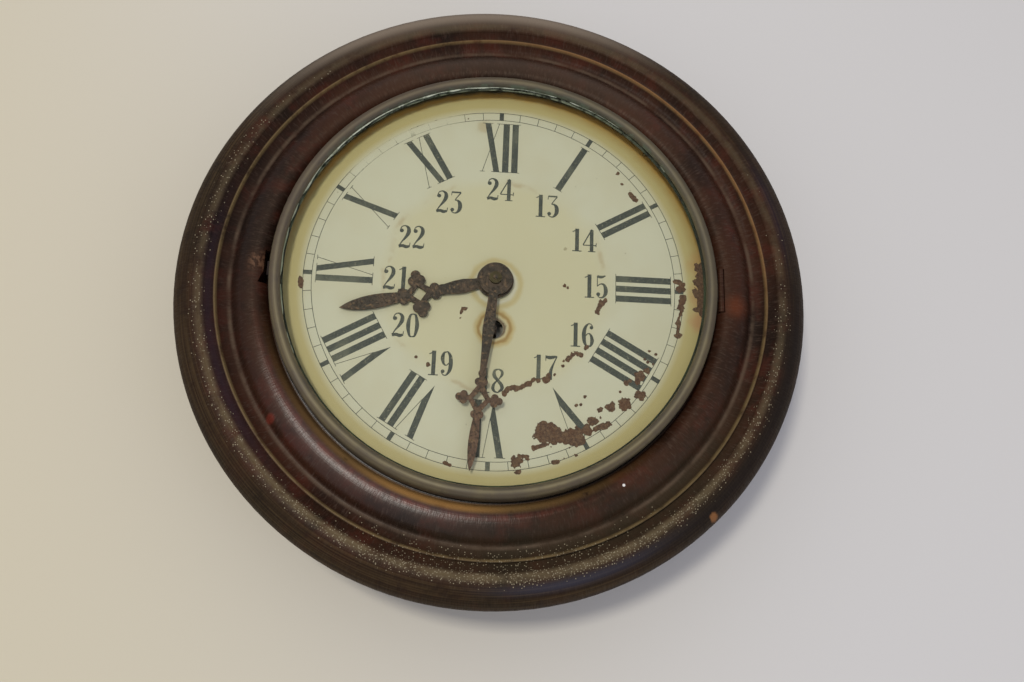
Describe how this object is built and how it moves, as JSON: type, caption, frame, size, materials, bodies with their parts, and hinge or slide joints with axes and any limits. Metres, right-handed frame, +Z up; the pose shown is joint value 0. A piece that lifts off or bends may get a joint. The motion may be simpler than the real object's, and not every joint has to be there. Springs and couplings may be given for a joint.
{
  "type": "wall clock",
  "caption": "Round wall clock with a turned dark wood surround, hinged brass bezel with glass, painted tin dial, pierced steel hands and a spring driven lever movement.",
  "frame": {"origin": "on the dial axis, in the plane of the wall that the clock hangs on", "axes": "+Z up towards twelve, -Y out of the wall towards the viewer, +X to the viewer's right"},
  "size_m": [0.308, 0.0723, 0.308],
  "materials": {
    "shellacked_wood": "very dark red brown shellac on turned beech, worn thin on the arrises",
    "bare_wood": "bare softwood, darkened with age",
    "iron_screw": "slotted wood screws of dull iron",
    "iron_plate": "black japanned iron with rubbed edges",
    "painted_tin": "cream paint on thin tin, yellowed, flaked and stained with rust",
    "brass_pin": "small brass pins, dulled",
    "tarnished_brass": "spun brass, tarnished nearly black with a rubbed crest",
    "window_glass": "flat clear window glass",
    "putty": "hardened linseed putty with a broken edge",
    "rusty_steel": "blued steel sheet gone brown with rust",
    "movement_brass": "rolled brass, lacquered, slightly dulled",
    "movement_steel": "turned and polished steel",
    "blued_steel": "blue tempered spring steel"
  },
  "bodies": {
    "case": {"surround": "shellacked_wood", "drum": "shellacked_wood", "glue_blocks": "bare_wood", "back_board": "bare_wood", "back_screws": "iron_screw", "hanger": "iron_plate", "hanger_screws": "iron_screw", "upper_rail": "bare_wood", "lower_rail": "bare_wood", "rail_screws": "iron_screw", "dial": "painted_tin", "dial_pins": "brass_pin", "case_hinge_leaf": "tarnished_brass", "hinge_pin": "iron_screw", "front_plate": "movement_brass", "back_plate": "movement_brass", "pillars": "movement_brass", "pillar_nuts": "movement_steel", "movement_screws": "movement_steel", "click_screw": "movement_steel", "click_spring": "blued_steel", "minute_wheel_stud": "movement_steel", "balance_cock": "movement_brass", "cock_screws": "movement_steel"},
    "bezel": {"bezel": "tarnished_brass", "glass": "window_glass", "glass_putty": "putty", "bezel_hinge_leaf": "tarnished_brass", "bezel_catch": "tarnished_brass"},
    "minute": {"cannon_pinion": "movement_steel", "minute_hand": "rusty_steel"},
    "centre": {"centre_arbor": "movement_steel", "centre_wheel": "movement_brass", "hand_nut": "rusty_steel"},
    "hour": {"hour_wheel": "movement_brass", "hour_hand": "rusty_steel"},
    "motion": {"minute_wheel": "movement_brass"},
    "third": {"third_arbor": "movement_steel", "third_wheel": "movement_brass"},
    "fourth": {"fourth_arbor": "movement_steel", "fourth_wheel": "movement_brass"},
    "escape": {"escape_arbor": "movement_steel", "escape_wheel": "movement_brass"},
    "mainspring_barrel": {"barrel": "movement_brass", "barrel_cover": "movement_brass", "mainspring": "blued_steel"},
    "winding": {"winding_arbor": "movement_steel", "ratchet_wheel": "movement_steel"},
    "ratchet_click": {"click": "movement_steel"},
    "lever": {"pallet_lever": "movement_steel", "pallet_arbor": "movement_steel"},
    "balance": {"balance_wheel": "movement_brass", "balance_staff": "movement_steel", "hairspring": "blued_steel"},
    "rate": {"regulator": "movement_steel"}
  },
  "joints": [
    {"name": "bezel_hinge", "type": "hinge", "parent": "case", "child": "bezel", "pos_m": [0.1097, -0.0646, 0], "axis": [0, 0, 1], "range_deg": [0, 100]},
    {"name": "minute_hand_turn", "type": "hinge", "parent": "case", "child": "minute", "pos_m": [0, -0.06, 0], "axis": [0, 1, 0], "continuous": true},
    {"name": "centre_turn", "type": "hinge", "parent": "case", "child": "centre", "pos_m": [0, -0.046, 0], "axis": [0, 1, 0], "continuous": true},
    {"name": "hour_hand_turn", "type": "hinge", "parent": "case", "child": "hour", "pos_m": [0, -0.06, 0], "axis": [0, 1, 0], "continuous": true},
    {"name": "minute_wheel_turn", "type": "hinge", "parent": "case", "child": "motion", "pos_m": [0.012, -0.051, 0], "axis": [0, 1, 0], "continuous": true},
    {"name": "third_turn", "type": "hinge", "parent": "case", "child": "third", "pos_m": [-0.01715, -0.036, 0.0099], "axis": [0, 1, 0], "continuous": true},
    {"name": "fourth_turn", "type": "hinge", "parent": "case", "child": "fourth", "pos_m": [-0.00865, -0.041, 0.02462], "axis": [0, 1, 0], "continuous": true},
    {"name": "escape_turn", "type": "hinge", "parent": "case", "child": "escape", "pos_m": [0.00755, -0.0275, 0.02462], "axis": [0, 1, 0], "continuous": true},
    {"name": "barrel_turn", "type": "hinge", "parent": "case", "child": "mainspring_barrel", "pos_m": [0, -0.036, -0.024], "axis": [0, 1, 0], "continuous": true},
    {"name": "winding_turn", "type": "hinge", "parent": "case", "child": "winding", "pos_m": [0, -0.036, -0.024], "axis": [0, 1, 0], "continuous": true},
    {"name": "click_swing", "type": "hinge", "parent": "case", "child": "ratchet_click", "pos_m": [-0.01314, -0.05, -0.03013], "axis": [0, 1, 0], "range_deg": [0, 8], "stiffness_Nm_per_rad": 0.0002},
    {"name": "lever_swing", "type": "hinge", "parent": "case", "child": "lever", "pos_m": [0.01544, -0.0275, 0.017], "axis": [0, 1, 0], "range_deg": [-5, 5]},
    {"name": "balance_swing", "type": "hinge", "parent": "case", "child": "balance", "pos_m": [0.02767, -0.019, 0.00519], "axis": [0, 1, 0], "range_deg": [-220, 220], "stiffness_Nm_per_rad": 0.000085, "deforming": ["hairspring"]},
    {"name": "regulator_turn", "type": "hinge", "parent": "case", "child": "rate", "pos_m": [0.02767, -0.011, 0.00519], "axis": [0, 1, 0], "range_deg": [-20, 20]}
  ],
  "couplings": [
    {"joint": "centre_turn", "follows": "minute_hand_turn", "ratio": 1},
    {"joint": "hour_hand_turn", "follows": "minute_hand_turn", "ratio": 0.083333},
    {"joint": "minute_wheel_turn", "follows": "minute_hand_turn", "ratio": -0.33333},
    {"joint": "third_turn", "follows": "minute_hand_turn", "ratio": -8},
    {"joint": "fourth_turn", "follows": "minute_hand_turn", "ratio": 60},
    {"joint": "escape_turn", "follows": "minute_hand_turn", "ratio": -480},
    {"joint": "barrel_turn", "follows": "minute_hand_turn", "ratio": -0.17647}
  ]
}
